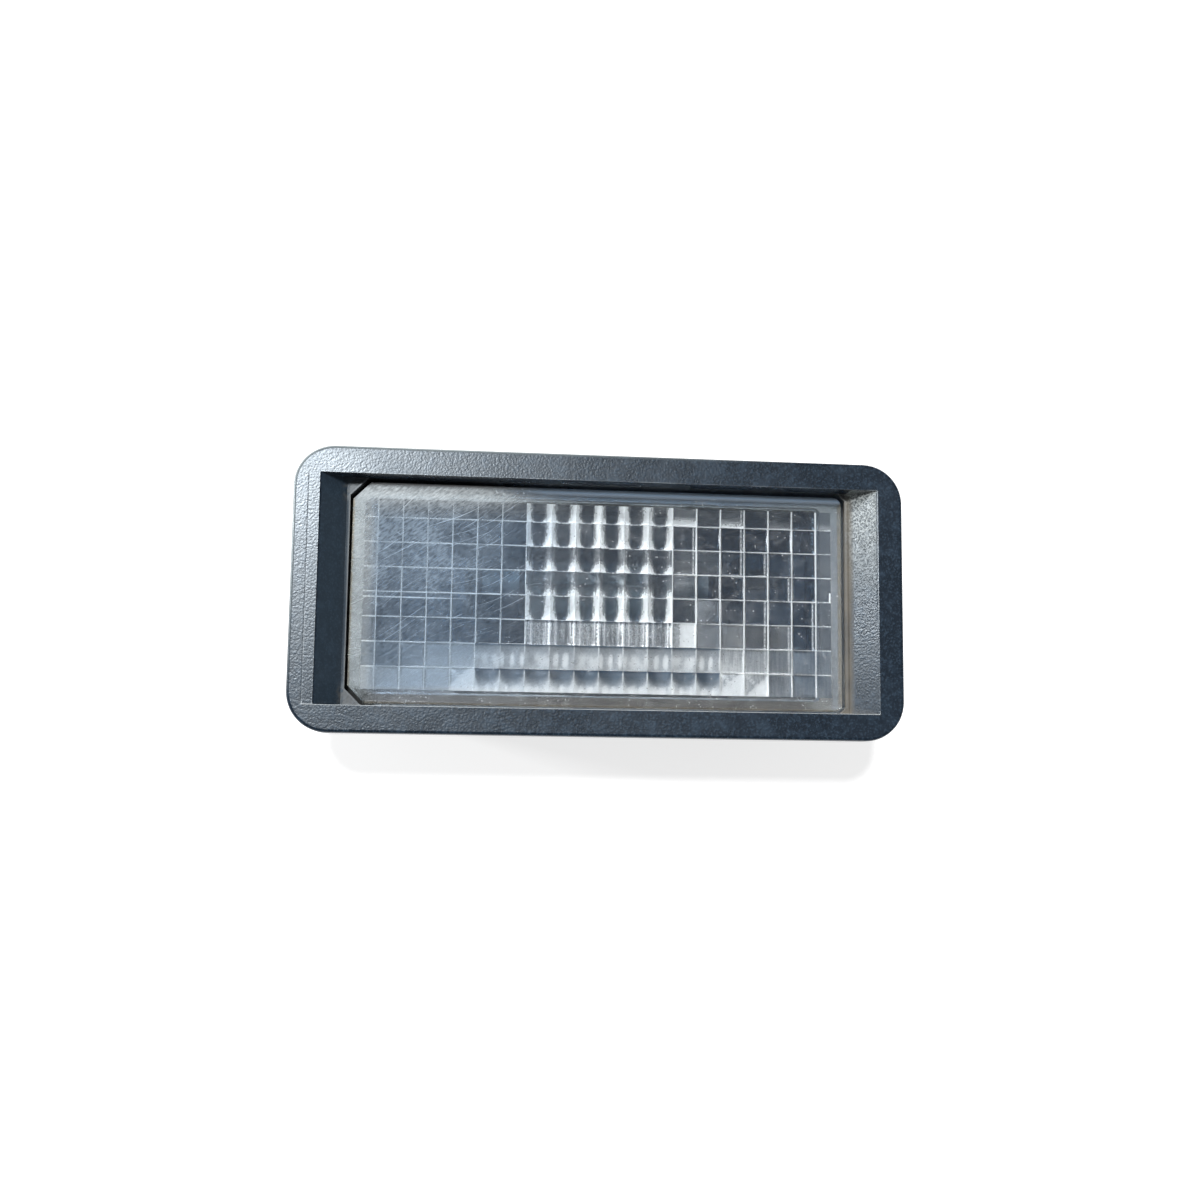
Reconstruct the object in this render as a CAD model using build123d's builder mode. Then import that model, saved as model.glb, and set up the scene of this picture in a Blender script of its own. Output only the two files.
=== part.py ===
"""Snap-in number plate lamp, in millimetres.

X runs along the lamp, Y across it, Z out of the lens. The plane z = 0 is the rear
face of the flange, which seats on the panel.
"""

import os

from build123d import *

os.makedirs("parts", exist_ok=True)

# Flange and sunk opening
flange_length = 84.0
flange_width = 38.7
flange_thickness = 2.5
flange_corner = 5.5
flange_edge_round = 0.45
end_band = 3.5
side_band = 3.7
insert_step_width = 1.4
insert_step_height = 0.12
recess_depth = 3.6
end_wall_run = 3.45
wall = 1.7
body_corner = 2.5
tube_corner = 3.2

# Lens pocket and lens
pocket_lip_width = 0.45
pocket_lip_height = 0.3
pocket_corner_cut = 1.0
lens_end_gap = 0.35
lens_side_gap = 0.45
lens_thickness = 2.2
lens_chamfer = 2.4
lens_corner = 1.1
lens_edge_round = 0.4
lens_seal_thickness = 0.4
lens_seal_inset = 0.3
ledge_end = 3.15
ledge_side = 1.7
ledge_thickness = 2.3

# Optic grid on the inner face of the lens, rows counted from the upper edge
columns = 18
row_shares = (0.75, 1.0, 1.0, 1.0, 1.0, 1.0, 1.0, 0.92)
row_pillows = (6, 6, 6, 6, 6, 6, 10, 12)
full_pillow_rows = 5
field_clearance = 0.3
optic_floor = 0.3
facet_rise = 0.5
pillow_sag = 0.75
flute_sag = 0.5

# Festoon bulb, lying along X
bulb_length = 36.0
bulb_offset = 2.5
bulb_clearance = 1.8
glass_diameter = 10.5
glass_wall = 0.6
cap_diameter = 8.5
cap_length = 7.0
cap_wall = 0.45
cap_cone_length = 1.8
cap_tip_radius = 1.0
lead_radius = 0.2
filament_length = 10.0
filament_radius = 0.3

# Reflector trough
reflector_thickness = 0.5
reflector_gap = 1.0
reflector_floor = 10.0
reflector_bend = 1.5
reflector_overhang = 1.8
reflector_pad_height = 1.0
reflector_pad_size = 2.4
slot_clearance = 0.6

# Contacts and plug socket
contact_thickness = 0.6
leaf_width = 7.0
leaf_above_bulb = 4.2
leaf_to_socket = 3.4
cap_tip_reach = 0.75
cap_hole_clearance = 0.08
blade_width = 2.8
blade_gap = 6.0
blade_recess = 1.5
runner_width = 2.8
runner_offset = -8.6
socket_wall = 1.2
socket_margin = 3.3
socket_depth = 9.0
press_fit = 0.05

# Rear cover that carries the bulb
carrier_thickness = 2.0
carrier_edge_round = 0.6
carrier_seal_thickness = 0.8
skirt_clearance = 0.2
skirt_wall = 1.4
skirt_height = 5.0
chamber_corner = 0.8
latch_position = 13.0
latch_width = 8.0
latch_thickness = 1.4
latch_clearance = 0.15
latch_height = 9.5
latch_bridge = 2.0
nose_width = 5.0
nose_height = 2.6
nose_reach = 1.1
window_clearance = 0.2
catch_clearance = 0.05

# Fixing to the panel
panel_thickness = 2.5
panel_clearance = 0.1
hook_reach = 3.6
hook_width = 7.0
hook_position = 9.0
hook_edge = 0.9
spring_thickness = 0.5
spring_width = 12.0
spring_bulge = 4.0
spring_bend = 1.2
rail_wall = 1.0
rail_clearance = 0.15
sill_height = 0.7
gusset_thickness = 1.4
gusset_drop = 6.0
side_gussets = (5.0, 24.0)
end_gusset_position = 10.5

opening_length = flange_length - 2 * end_band
opening_width = flange_width - 2 * side_band
floor_length = opening_length - 2 * end_wall_run
pocket_length = floor_length - 2 * pocket_lip_width
lens_length = pocket_length - 2 * lens_end_gap
lens_width = opening_width - 2 * lens_side_gap
chamber_length = lens_length - 2 * ledge_end
chamber_width = lens_width - 2 * ledge_side
tube_length = chamber_length + 2 * wall
tube_width = chamber_width + 2 * wall
body_length = pocket_length + 2 * wall
body_width = opening_width + 2 * wall
slope = end_wall_run / recess_depth
seat_length = opening_length - 2 * flange_thickness * slope + 2 * wall

field_length = chamber_length - 2 * field_clearance
field_width = chamber_width - 2 * field_clearance
column_pitch = field_length / columns
row_pitch = field_width / sum(row_shares)

z_lens = flange_thickness - recess_depth
z_lens_back = z_lens - lens_thickness
z_ledge = z_lens_back - lens_seal_thickness
z_shoulder = z_ledge - ledge_thickness
z_optic = z_lens_back - optic_floor - max(pillow_sag, facet_rise)
z_bulb = z_optic - bulb_clearance - glass_diameter / 2
z_reflector = z_bulb - glass_diameter / 2 - reflector_gap - reflector_thickness
z_carrier = z_reflector - reflector_pad_height
z_tube_end = z_carrier + carrier_seal_thickness
z_back = z_carrier - carrier_thickness
z_socket = z_back + socket_depth
z_socket_top = z_socket + socket_wall

leaf_inner = bulb_length / 2 - cap_tip_reach
leaf_outer = leaf_inner + contact_thickness
skirt_length = chamber_length - 2 * skirt_clearance
skirt_width = chamber_width - 2 * skirt_clearance
socket_start = leaf_outer + leaf_to_socket
socket_end = skirt_length / 2
socket_inner_start = socket_start + socket_wall
socket_inner_end = socket_end - skirt_wall
socket_middle = (socket_inner_start + socket_inner_end) / 2
socket_half_width = blade_gap / 2 + socket_margin
riser_inner = socket_start - press_fit - contact_thickness
cone_radius = cap_diameter / 2 - cap_tip_radius
hole_radius = (
    cap_tip_radius + cone_radius * cap_tip_reach / cap_cone_length + cap_hole_clearance
)
nose_top = z_carrier + latch_height - latch_bridge
bulb_plane = Plane(
    origin=(0, bulb_offset, z_bulb), x_dir=(1, 0, 0), z_dir=(0, -1, 0)
)
bulb_axis = Axis((0, bulb_offset, z_bulb), (1, 0, 0))


def lens_outline(grow_x, grow_y):
    """Lens outline grown by a gap: both left corners cut off, for one way round only."""
    with BuildSketch() as outline:
        Rectangle(lens_length + 2 * grow_x, lens_width + 2 * grow_y)
        chamfer(outline.vertices().group_by(Axis.X)[0], lens_chamfer)
    return outline.sketch


with BuildPart() as housing:
    with BuildSketch():
        RectangleRounded(flange_length, flange_width, flange_corner)
    extrude(amount=flange_thickness)
    fillet(housing.faces().sort_by(Axis.Z)[-1].edges(), flange_edge_round)

    # Step left by the mould insert beside the left end of the opening
    with BuildSketch(Plane.XY.offset(flange_thickness)):
        with Locations((-opening_length / 2, 0)):
            Rectangle(2 * insert_step_width, opening_width)
    extrude(amount=insert_step_height)

    # Body behind the flange, narrowing with the slope of the end walls
    with BuildSketch():
        RectangleRounded(seat_length, body_width, body_corner)
    with BuildSketch(Plane.XY.offset(-(seat_length - body_length) / 2 / slope)) as waist:
        RectangleRounded(body_length, body_width, body_corner)
    loft()
    extrude(waist.sketch, amount=z_shoulder + (seat_length - body_length) / 2 / slope)
    with BuildSketch(Plane.XY.offset(z_shoulder)):
        RectangleRounded(tube_length, tube_width, tube_corner)
    extrude(amount=z_tube_end - z_shoulder)

    # Gussets under the shoulder
    with BuildSketch(Plane.YZ):
        with BuildLine():
            Polyline(
                (tube_width / 2 - wall / 2, z_shoulder),
                (body_width / 2, z_shoulder),
                (tube_width / 2 - wall / 2, z_shoulder - gusset_drop),
                close=True,
            )
        gusset = make_face()
        mirror(gusset, about=Plane.YZ)
    side_gusset = extrude(
        amount=gusset_thickness / 2, both=True, mode=Mode.PRIVATE
    )
    with Locations(*[(side * x, 0, 0) for x in side_gussets for side in (-1, 1)]):
        add(side_gusset)
    with BuildSketch(Plane.XZ):
        with BuildLine():
            Polyline(
                (tube_length / 2 - wall / 2, z_shoulder),
                (body_length / 2, z_shoulder),
                (tube_length / 2 - wall / 2, z_shoulder - gusset_drop),
                close=True,
            )
        gusset = make_face()
        mirror(gusset, about=Plane.YZ)
    end_gusset = extrude(
        amount=gusset_thickness / 2, both=True, mode=Mode.PRIVATE
    )
    with Locations((0, -end_gusset_position, 0), (0, end_gusset_position, 0)):
        add(end_gusset)

    # Opening, lip round the pocket, lens pocket and lamp chamber
    with BuildSketch(Plane.XZ):
        with BuildLine() as opening_side:
            Polyline(
                (0, flange_thickness + insert_step_height),
                (opening_length / 2, flange_thickness + insert_step_height),
                (opening_length / 2, flange_thickness),
                (floor_length / 2, z_lens),
                (0, z_lens),
            )
            mirror(opening_side.line, about=Plane.YZ)
        make_face()
    extrude(amount=opening_width / 2, both=True, mode=Mode.SUBTRACT)
    with BuildSketch(Plane.XY.offset(z_lens)):
        outline = add(lens_outline(lens_end_gap + pocket_lip_width / 2, lens_side_gap))
        chamfer(outline.vertices().group_by(Axis.X)[-1], pocket_corner_cut)
    extrude(amount=pocket_lip_height)
    with BuildSketch(Plane.XY.offset(z_ledge)):
        outline = add(lens_outline(lens_end_gap, lens_side_gap))
        chamfer(outline.vertices().group_by(Axis.X)[-1], pocket_corner_cut)
    extrude(
        amount=z_lens - z_ledge + pocket_lip_height + insert_step_height,
        mode=Mode.SUBTRACT,
    )
    with BuildSketch(Plane.XY.offset(z_ledge)):
        RectangleRounded(chamber_length, chamber_width, chamber_corner)
    extrude(amount=z_tube_end - z_ledge, mode=Mode.SUBTRACT)

    # Fixed hooks at the right end
    with BuildSketch(Plane.XZ):
        with BuildLine():
            Polyline(
                (body_length / 2 - wall / 2, -panel_thickness - panel_clearance),
                (body_length / 2 + hook_reach, -panel_thickness - panel_clearance),
                (
                    body_length / 2 + hook_reach,
                    -panel_thickness - panel_clearance - hook_edge,
                ),
                (body_length / 2 - wall / 2, z_shoulder),
                close=True,
            )
        make_face()
    hook = extrude(amount=hook_width / 2, both=True, mode=Mode.PRIVATE)
    with Locations((0, -hook_position, 0), (0, hook_position, 0)):
        add(hook)

    # Rails and sill that hold the retaining spring at the left end
    rail_slot = spring_thickness + 2 * rail_clearance
    with BuildSketch(Plane.XY.offset(z_tube_end)):
        with Locations((-tube_length / 2, 0)):
            Rectangle(
                2 * (rail_slot + rail_wall),
                spring_width + 2 * (rail_clearance + rail_wall),
            )
            Rectangle(
                2 * rail_slot, spring_width + 2 * rail_clearance, mode=Mode.SUBTRACT
            )
            Rectangle(
                4 * (rail_slot + rail_wall),
                spring_width - 2 * rail_wall,
                mode=Mode.SUBTRACT,
            )
        Rectangle(tube_length - wall, tube_width, mode=Mode.SUBTRACT)
    extrude(amount=gusset_drop)
    with BuildSketch(Plane.XY.offset(z_tube_end)):
        with Locations((-tube_length / 2, 0)):
            Rectangle(2 * rail_slot, spring_width + 2 * rail_clearance)
        Rectangle(tube_length - wall, tube_width, mode=Mode.SUBTRACT)
    extrude(amount=sill_height)

    # Noses for the latch arms of the rear cover
    with BuildSketch(Plane.YZ):
        with BuildLine():
            Polyline(
                (tube_width / 2 - wall / 2, nose_top),
                (tube_width / 2 + nose_reach, nose_top),
                (tube_width / 2, nose_top - nose_height),
                (tube_width / 2 - wall / 2, nose_top - nose_height),
                close=True,
            )
        nose = make_face()
        mirror(nose, about=Plane.YZ)
    latch_nose = extrude(amount=nose_width / 2, both=True, mode=Mode.PRIVATE)
    with Locations((-latch_position, 0, 0), (latch_position, 0, 0)):
        add(latch_nose)
housing.part.label = "housing"
export_step(housing.part, "parts/housing.step")


with BuildPart() as lens_seal:
    with BuildSketch(Plane.XY.offset(z_ledge)):
        add(lens_outline(-lens_seal_inset, -lens_seal_inset))
        RectangleRounded(
            chamber_length + 2 * lens_seal_inset,
            chamber_width + 2 * lens_seal_inset,
            chamber_corner,
            mode=Mode.SUBTRACT,
        )
    extrude(amount=lens_seal_thickness)
lens_seal.part.label = "lens_seal"
export_step(lens_seal.part, "parts/lens_seal.step")


def facet(row, column):
    """Depth of a flat prism at its left and right edge: it leans away from the bulb."""
    from_middle = (column + 0.5) / (columns / 2) - 1
    lean = facet_rise * abs(from_middle) * (1.0 if row % 2 else 0.6)
    deep, shallow = optic_floor + lean, optic_floor
    return (deep, shallow) if from_middle < 0 else (shallow, deep)


with BuildPart() as lens:
    with BuildSketch(Plane.XY.offset(z_lens_back)):
        outline = add(lens_outline(0, 0))
        fillet(outline.vertices().group_by(Axis.X)[-1], lens_corner)
    extrude(amount=lens_thickness)
    fillet(lens.faces().sort_by(Axis.Z)[-1].edges(), lens_edge_round)

    # Each row of the grid is one profile of eighteen optics, extruded along the row
    row_edge = field_width / 2
    for row, share in enumerate(row_shares):
        row_edge -= share * row_pitch
        first_pillow = (columns - row_pillows[row]) // 2
        with BuildSketch(Plane.XZ.offset(-row_edge)):
            with BuildLine():
                end = (-field_length / 2, z_lens_back)
                for column in range(columns):
                    x_left = -field_length / 2 + column * column_pitch
                    pillow = first_pillow <= column < columns - first_pillow
                    deep_left, deep_right = (
                        (optic_floor, optic_floor) if pillow else facet(row, column)
                    )
                    start = (x_left, z_lens_back - deep_left)
                    if start[1] != end[1]:
                        Line(end, start)
                    end = (x_left + column_pitch, z_lens_back - deep_right)
                    if pillow:
                        sag = pillow_sag if row < full_pillow_rows else flute_sag
                        SagittaArc(start, end, -sag)
                    else:
                        Line(start, end)
                Line(end, (field_length / 2, z_lens_back))
                Line((field_length / 2, z_lens_back), (-field_length / 2, z_lens_back))
            make_face()
        extrude(amount=-share * row_pitch)
lens.part.label = "lens"
export_step(lens.part, "parts/lens.step")


with BuildPart() as reflector:
    flank_reach = chamber_width / 2 - slot_clearance - reflector_thickness
    z_flank = z_bulb + reflector_gap
    with BuildSketch(Plane.YZ):
        with BuildLine() as trough:
            FilletPolyline(
                (-flank_reach, z_flank),
                (bulb_offset - reflector_floor / 2, z_reflector + reflector_thickness / 2),
                (bulb_offset + reflector_floor / 2, z_reflector + reflector_thickness / 2),
                (flank_reach, z_flank),
                radius=reflector_bend,
            )
        trace(line_width=reflector_thickness)
    extrude(amount=leaf_outer + reflector_overhang, both=True)
    with BuildSketch(Plane.XY.offset(z_reflector)):
        with Locations(
            (-(leaf_inner + leaf_outer) / 2, bulb_offset),
            ((leaf_inner + leaf_outer) / 2, bulb_offset),
        ):
            Rectangle(
                contact_thickness + 2 * slot_clearance, leaf_width + 2 * slot_clearance
            )
    extrude(amount=glass_diameter, mode=Mode.SUBTRACT)
reflector.part.label = "reflector"
export_step(reflector.part, "parts/reflector.step")


glass_radius = glass_diameter / 2
neck_radius = cap_diameter / 2 - cap_wall - press_fit
cap_start = bulb_length / 2 - cap_length
cap_floor = bulb_length / 2 - cap_cone_length - cap_wall
neck_end = cap_floor - press_fit
shoulder_start = cap_start - glass_radius + neck_radius - glass_wall
bore_radius = lead_radius + press_fit

with BuildPart() as bulb_glass:
    with BuildSketch(bulb_plane):
        with BuildLine() as envelope:
            FilletPolyline(
                (0, glass_radius),
                (shoulder_start, glass_radius),
                (cap_start - glass_wall, neck_radius),
                (neck_end, neck_radius),
                radius=glass_wall,
            )
            Polyline(
                (neck_end, neck_radius),
                (neck_end, bore_radius),
                (cap_start + glass_wall, bore_radius),
                (cap_start - glass_wall, neck_radius - 2 * glass_wall),
                (shoulder_start - glass_wall / 2, glass_radius - glass_wall),
                (0, glass_radius - glass_wall),
            )
            mirror(envelope.line, about=Plane.YZ)
        make_face()
    revolve(axis=bulb_axis)
bulb_glass.part.label = "bulb_glass"
export_step(bulb_glass.part, "parts/bulb_glass.step")


def draw_cap(side):
    """Half section of one end cap, from its open mouth to the cone at its tip."""
    Polyline(
        (side * cap_start, cap_diameter / 2),
        (side * (bulb_length / 2 - cap_cone_length), cap_diameter / 2),
        (side * bulb_length / 2, cap_tip_radius),
        (side * bulb_length / 2, 0),
        (side * cap_floor, 0),
        (side * cap_floor, cap_diameter / 2 - cap_wall),
        (side * cap_start, cap_diameter / 2 - cap_wall),
        close=True,
    )


with BuildPart() as bulb_cap_left:
    with BuildSketch(bulb_plane):
        with BuildLine():
            draw_cap(-1)
        make_face()
    revolve(axis=bulb_axis)
bulb_cap_left.part.label = "bulb_cap_left"
export_step(bulb_cap_left.part, "parts/bulb_cap_left.step")


with BuildPart() as bulb_cap_right:
    with BuildSketch(bulb_plane):
        with BuildLine():
            draw_cap(1)
        make_face()
    revolve(axis=bulb_axis)
bulb_cap_right.part.label = "bulb_cap_right"
export_step(bulb_cap_right.part, "parts/bulb_cap_right.step")


with BuildPart() as bulb_filament:
    with BuildSketch(Plane.YZ.offset(-filament_length / 2)):
        with Locations((bulb_offset, z_bulb)):
            Circle(filament_radius)
    extrude(amount=filament_length)
bulb_filament.part.label = "bulb_filament"
export_step(bulb_filament.part, "parts/bulb_filament.step")


with BuildPart() as bulb_lead_left:
    with BuildSketch(Plane.YZ.offset(-cap_floor)):
        with Locations((bulb_offset, z_bulb)):
            Circle(lead_radius)
    extrude(amount=cap_floor - filament_length / 2)
bulb_lead_left.part.label = "bulb_lead_left"
export_step(bulb_lead_left.part, "parts/bulb_lead_left.step")


with BuildPart() as bulb_lead_right:
    with BuildSketch(Plane.YZ.offset(filament_length / 2)):
        with Locations((bulb_offset, z_bulb)):
            Circle(lead_radius)
    extrude(amount=cap_floor - filament_length / 2)
bulb_lead_right.part.label = "bulb_lead_right"
export_step(bulb_lead_right.part, "parts/bulb_lead_right.step")


def leaf_sketch(x):
    """Upright spring leaf, with the hole that takes the tip of the bulb cap."""
    with BuildSketch(Plane.YZ.offset(x)) as leaf:
        with Locations((bulb_offset, z_carrier)):
            Rectangle(
                leaf_width,
                z_bulb + leaf_above_bulb - z_carrier,
                align=(Align.CENTER, Align.MIN),
            )
        fillet(leaf.vertices().group_by(Axis.Z)[-1], leaf_width / 4)
        with Locations((bulb_offset, z_bulb)):
            Circle(hole_radius, mode=Mode.SUBTRACT)
    return leaf.sketch


def blade_strip(side):
    """Riser up the socket wall, tab over its top and the blade bent down from the tab."""
    blade_edge = Plane.XZ.offset(-side * blade_gap / 2)
    z_tip = z_back + blade_recess
    with BuildPart() as strip:
        with BuildSketch(blade_edge):
            with BuildLine():
                FilletPolyline(
                    (riser_inner + contact_thickness / 2, z_carrier),
                    (
                        riser_inner + contact_thickness / 2,
                        z_socket_top + contact_thickness / 2,
                    ),
                    (
                        socket_middle + blade_width / 2,
                        z_socket_top + contact_thickness / 2,
                    ),
                    radius=contact_thickness,
                )
            trace(line_width=contact_thickness)
        extrude(amount=-side * blade_width)
        with BuildSketch(blade_edge):
            with Locations((socket_middle, z_tip)):
                Rectangle(
                    blade_width,
                    z_socket_top + contact_thickness - z_tip,
                    align=(Align.CENTER, Align.MIN),
                )
        extrude(amount=-side * contact_thickness)
    return strip.part


with BuildPart() as contact_left:
    add(extrude(leaf_sketch(-leaf_outer), amount=contact_thickness))
    runner_edge = runner_offset - runner_width / 2
    with BuildSketch(Plane.XY.offset(z_carrier)):
        with Locations((-leaf_outer, runner_edge)):
            Rectangle(
                runner_width,
                bulb_offset + leaf_width / 2 - runner_edge,
                align=Align.MIN,
            )
            Rectangle(
                leaf_outer + riser_inner + contact_thickness,
                runner_width,
                align=Align.MIN,
            )
        with Locations((riser_inner + contact_thickness, runner_edge)):
            Rectangle(
                contact_thickness + slot_clearance,
                -blade_gap / 2 - runner_edge,
                align=(Align.MAX, Align.MIN),
            )
    extrude(amount=contact_thickness)
    add(blade_strip(-1))
contact_left.part.label = "contact_left"
export_step(contact_left.part, "parts/contact_left.step")


with BuildPart() as contact_right:
    add(extrude(leaf_sketch(leaf_inner), amount=contact_thickness))
    with BuildSketch(Plane.XY.offset(z_carrier)):
        with Locations((leaf_inner, bulb_offset)):
            Rectangle(
                riser_inner + contact_thickness - leaf_inner,
                leaf_width,
                align=(Align.MIN, Align.CENTER),
            )
    extrude(amount=contact_thickness)
    add(blade_strip(1))
contact_right.part.label = "contact_right"
export_step(contact_right.part, "parts/contact_right.step")


with BuildPart() as carrier_seal:
    with BuildSketch(Plane.XY.offset(z_carrier)):
        RectangleRounded(
            tube_length - 2 * skirt_clearance,
            tube_width - 2 * skirt_clearance,
            tube_corner,
        )
        RectangleRounded(
            chamber_length, chamber_width, chamber_corner, mode=Mode.SUBTRACT
        )
    extrude(amount=carrier_seal_thickness)
carrier_seal.part.label = "carrier_seal"
export_step(carrier_seal.part, "parts/carrier_seal.step")


with BuildPart() as bulb_carrier:
    with BuildSketch(Plane.XY.offset(z_back)):
        RectangleRounded(tube_length, tube_width, tube_corner)
    extrude(amount=carrier_thickness)
    fillet(bulb_carrier.faces().sort_by(Axis.Z)[0].edges(), carrier_edge_round)
    with BuildSketch(Plane.XY.offset(z_carrier)):
        RectangleRounded(skirt_length, skirt_width, chamber_corner)
        RectangleRounded(
            skirt_length - 2 * skirt_wall,
            skirt_width - 2 * skirt_wall,
            chamber_corner,
            mode=Mode.SUBTRACT,
        )
    extrude(amount=skirt_height)

    # Plug socket, sunk into the space beside the bulb and open at the back
    with BuildSketch(Plane.XY.offset(z_carrier)):
        with Locations((socket_start, 0)):
            Rectangle(
                socket_end - socket_start,
                2 * (socket_half_width + socket_wall),
                align=(Align.MIN, Align.CENTER),
            )
    extrude(amount=z_socket_top - z_carrier)
    socket_top = bulb_carrier.faces().sort_by(Axis.Z)[-1]
    fillet(socket_top.edges().sort_by(Axis.X)[0], contact_thickness)
    with BuildSketch(Plane.XY.offset(z_back)):
        with Locations((socket_middle, 0)):
            Rectangle(socket_inner_end - socket_inner_start, 2 * socket_half_width)
    extrude(amount=socket_depth, mode=Mode.SUBTRACT)
    with BuildSketch(Plane.XY.offset(z_socket)):
        with Locations(
            *[
                (socket_middle, side * (blade_gap + contact_thickness) / 2)
                for side in (-1, 1)
            ]
        ):
            Rectangle(blade_width + 2 * press_fit, contact_thickness + 2 * press_fit)
    extrude(amount=socket_wall, mode=Mode.SUBTRACT)

    # Pads under the floor of the reflector
    with BuildSketch(Plane.XY.offset(z_carrier)):
        with Locations((0, bulb_offset)):
            with GridLocations(
                2 * leaf_inner - 4 * reflector_pad_size,
                reflector_floor - 2 * reflector_bend - reflector_pad_size,
                2,
                2,
            ):
                Rectangle(reflector_pad_size, reflector_pad_size)
    extrude(amount=reflector_pad_height)

    # Latch arms that snap over the noses of the housing
    arm_edge = tube_width / 2 + latch_clearance
    with BuildSketch(Plane.XZ.offset(-arm_edge)):
        with Locations((0, z_back)):
            Rectangle(
                latch_width,
                carrier_thickness + latch_height,
                align=(Align.CENTER, Align.MIN),
            )
        with Locations((0, nose_top + catch_clearance)):
            Rectangle(
                nose_width + 2 * window_clearance,
                nose_height + window_clearance,
                align=(Align.CENTER, Align.MAX),
                mode=Mode.SUBTRACT,
            )
    arm = extrude(amount=-latch_thickness, mode=Mode.PRIVATE)
    with BuildSketch(Plane.XY.offset(z_back)):
        with Locations((0, arm_edge)):
            Rectangle(
                latch_width, wall + latch_clearance, align=(Align.CENTER, Align.MAX)
            )
    root = extrude(amount=carrier_thickness, mode=Mode.PRIVATE)
    for piece in (arm, root):
        with Locations((-latch_position, 0, 0), (latch_position, 0, 0)):
            add(piece)
            add(mirror(piece, about=Plane.XZ, mode=Mode.PRIVATE))
bulb_carrier.part.label = "bulb_carrier"
export_step(bulb_carrier.part, "parts/bulb_carrier.step")


with BuildPart() as retaining_spring:
    root_x = -tube_length / 2 - rail_clearance - spring_thickness / 2
    with BuildSketch(Plane.XZ):
        with BuildLine():
            FilletPolyline(
                (root_x, z_tube_end + sill_height),
                (root_x, z_tube_end + gusset_drop + 2 * spring_bend),
                (-body_length / 2 - wall / 2, z_shoulder - wall),
                (-body_length / 2 - spring_bulge, -panel_thickness - spring_bend),
                (-seat_length / 2 - spring_thickness, -wall / 2),
                radius=spring_bend,
            )
        trace(line_width=spring_thickness)
    extrude(amount=spring_width / 2, both=True)
retaining_spring.part.label = "retaining_spring"
export_step(retaining_spring.part, "parts/retaining_spring.step")
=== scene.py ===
"""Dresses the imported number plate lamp: finishes, fine lens, filament coil and a plain stage."""

import math
from functools import partial

import bmesh
import bpy
from mathutils import Matrix, Vector


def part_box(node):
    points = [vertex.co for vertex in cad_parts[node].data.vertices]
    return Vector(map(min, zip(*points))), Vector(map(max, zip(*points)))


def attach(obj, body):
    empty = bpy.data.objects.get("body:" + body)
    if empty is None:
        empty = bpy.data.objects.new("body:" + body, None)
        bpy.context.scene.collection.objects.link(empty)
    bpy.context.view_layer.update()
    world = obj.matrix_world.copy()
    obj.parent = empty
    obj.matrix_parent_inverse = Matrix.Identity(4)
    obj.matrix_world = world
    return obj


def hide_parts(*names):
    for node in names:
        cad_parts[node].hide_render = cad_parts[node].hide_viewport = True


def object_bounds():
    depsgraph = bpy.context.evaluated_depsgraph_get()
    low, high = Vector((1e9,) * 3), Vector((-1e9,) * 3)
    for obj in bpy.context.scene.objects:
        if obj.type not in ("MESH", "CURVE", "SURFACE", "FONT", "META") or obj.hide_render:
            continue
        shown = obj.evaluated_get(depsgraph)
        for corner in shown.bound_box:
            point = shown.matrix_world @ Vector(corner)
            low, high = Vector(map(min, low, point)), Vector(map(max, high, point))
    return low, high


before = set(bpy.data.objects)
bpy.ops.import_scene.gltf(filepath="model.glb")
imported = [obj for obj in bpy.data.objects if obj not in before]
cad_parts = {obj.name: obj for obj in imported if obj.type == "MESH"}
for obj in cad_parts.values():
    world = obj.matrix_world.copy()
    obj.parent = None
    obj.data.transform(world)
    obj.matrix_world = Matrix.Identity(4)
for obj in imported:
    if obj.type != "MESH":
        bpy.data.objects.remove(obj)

bl_info = {
    "name": "Number plate lamp",
    "version": (1, 0, 0),
    "blender": (4, 5, 0),
    "location": "View3D > Sidebar > Lamp",
    "description": "Finishes, fine lens and stage for a snap-in number plate lamp",
    "category": "Object",
}

MM = 0.001
BODY = "root"
CAD_BOX = [list(map(float, corner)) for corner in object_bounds()]
LENS_LOW, LENS_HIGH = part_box("lens")
ROD_LOW, ROD_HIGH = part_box("bulb_filament")

# Settings of a node that the part of its kind after the dot may stand for
MODES = ("operation", "interpolation_type", "data_type")
CHAINED = ("ADD", "MULTIPLY", "MAXIMUM", "MINIMUM")
SOCKETS = {
    int: "NodeSocketInt",
    float: "NodeSocketFloat",
    tuple: "NodeSocketVector",
    bpy.types.Material: "NodeSocketMaterial",
}

# Stage: half the floor's length, the paper's own light and where the lights stand, in metres
FLOOR_SPAN = 3.0
PAPER_GLOW = 0.7
WINDOW_PLACE = (-0.152, 0.272, 1.0)
SIDE_PLACE = (-0.543, 0.125, 0.134)

# Optic grid of the lens: rows and columns are counted from 0, at the upper left
CELL_STEPS = 16
BUNCHING = 0.8
FLUTED_ROW = 5
MILKY_ROW = 6
BRIGHT_COLUMN = 12
FLUTES = 5

CORNER_STEPS = 8
EDGE_STEPS = 5
SHARP_ANGLE = math.radians(40)
TURN_STEPS = 14
WIRE_SIDES = 6

# Marks of the rear cover's ejector pins, in millimetres along and across the lamp
PIN_RADIUS = 2.0
PIN_PLACES = ((-24, 7), (-24, -7), (12, 7), (12, -7))


def linear(colour):
    """Linear colour of an sRGB hex value such as #1f262e."""
    channels = [int(colour[i : i + 2], 16) / 255 for i in (1, 3, 5)]
    return (
        *[c / 12.92 if c <= 0.04045 else ((c + 0.055) / 1.055) ** 2.4 for c in channels],
        1.0,
    )


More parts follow.
